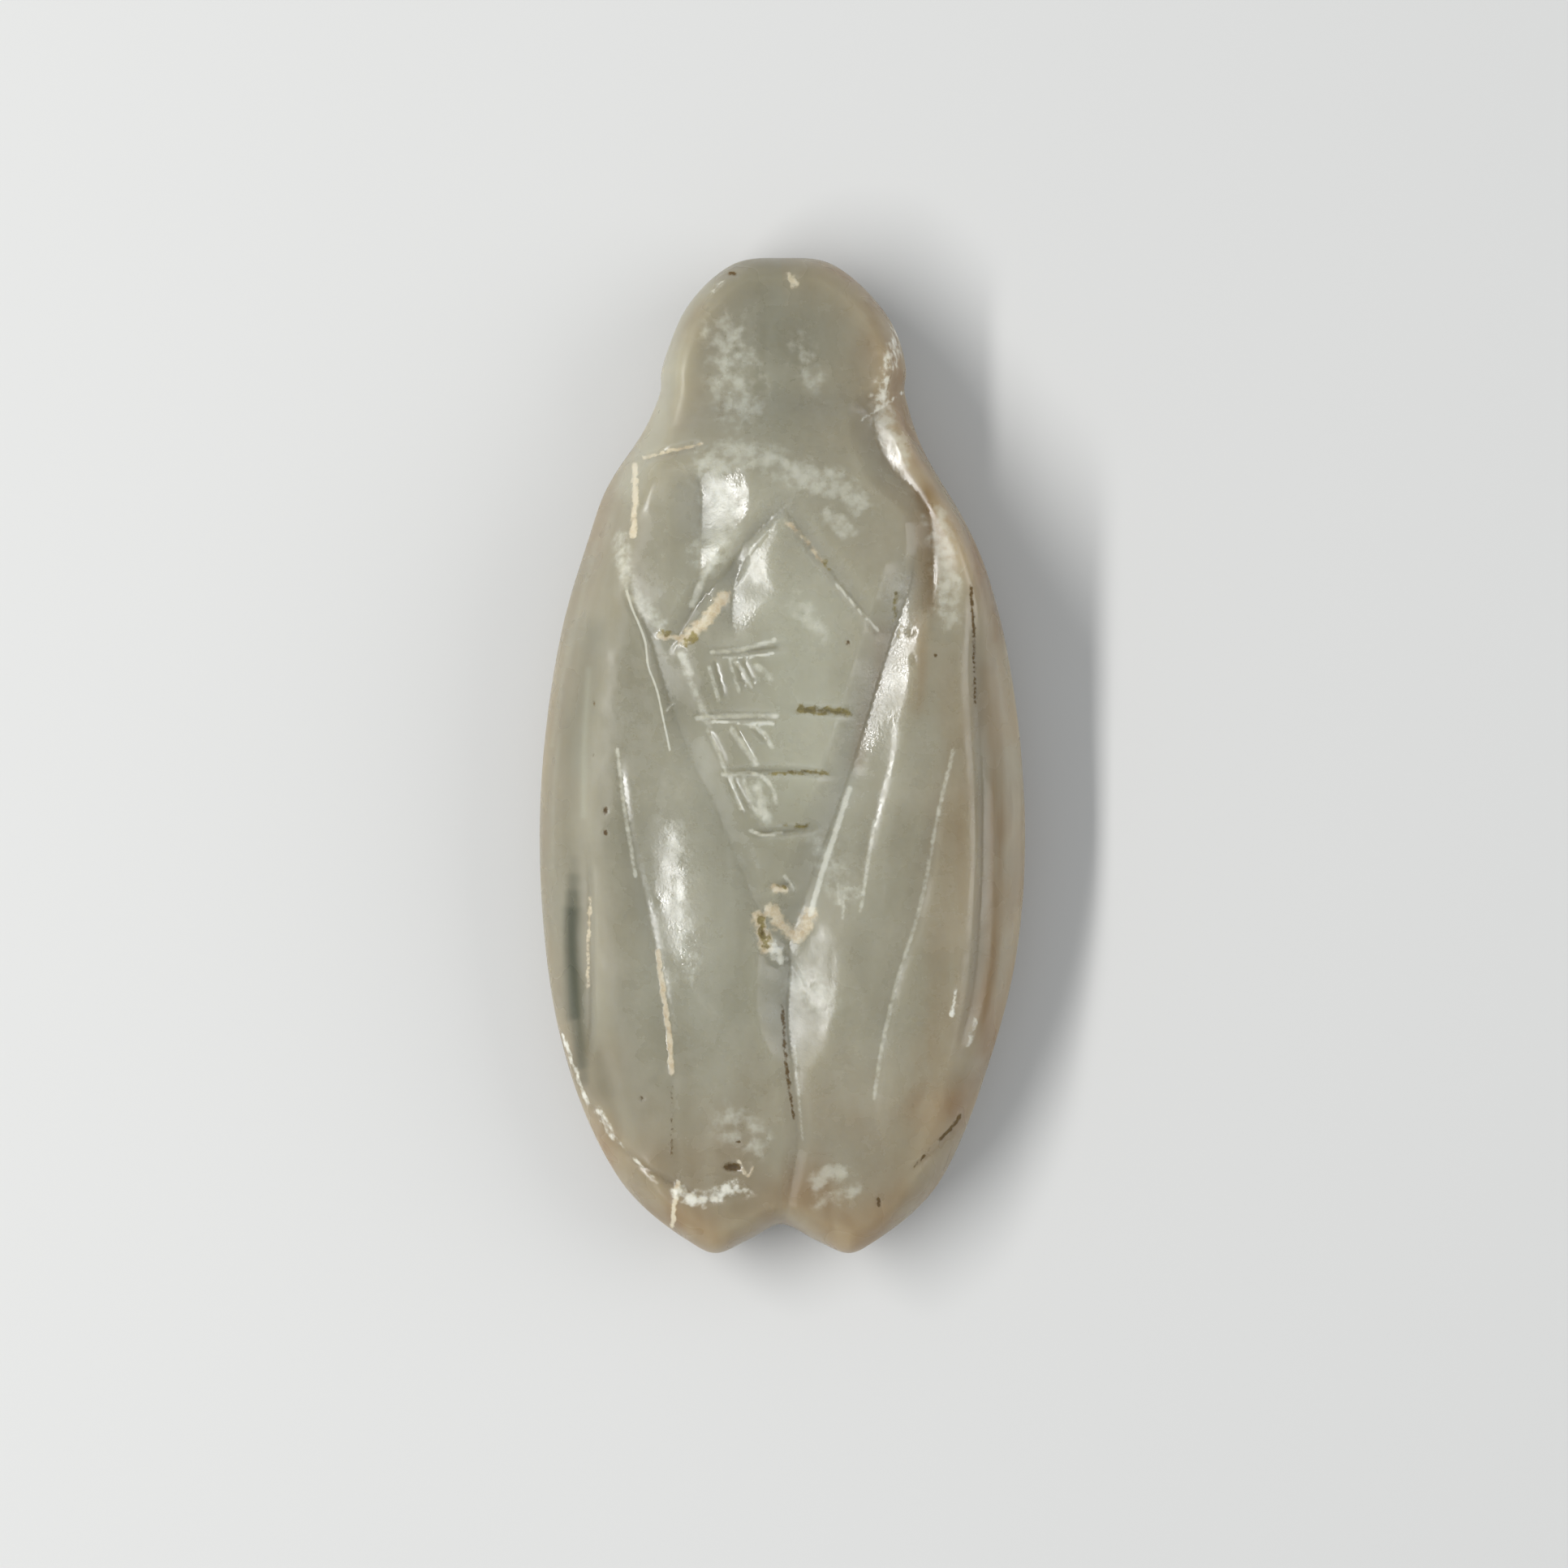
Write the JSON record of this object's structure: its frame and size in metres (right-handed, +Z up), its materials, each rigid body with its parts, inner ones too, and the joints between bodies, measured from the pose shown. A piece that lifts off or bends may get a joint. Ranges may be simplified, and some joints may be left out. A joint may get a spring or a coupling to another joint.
{
  "type": "cicada amulet",
  "caption": "Carved amulet in the shape of a resting cicada with folded wings, cut from one pale cloudy stone, lying on its flat underside",
  "frame": {"origin": "on the ground, below the middle of the bounding box", "axes": "+Y towards the head, +X to the right seen from above, +Z up out of the carved back"},
  "size_m": [0.0268, 0.0549, 0.0092],
  "materials": {
    "chalcedony": "polished, worn and cloudy, with buff soil left in the cuts"
  },
  "bodies": {
    "root": {"cicada": "chalcedony"}
  },
  "joints": []
}
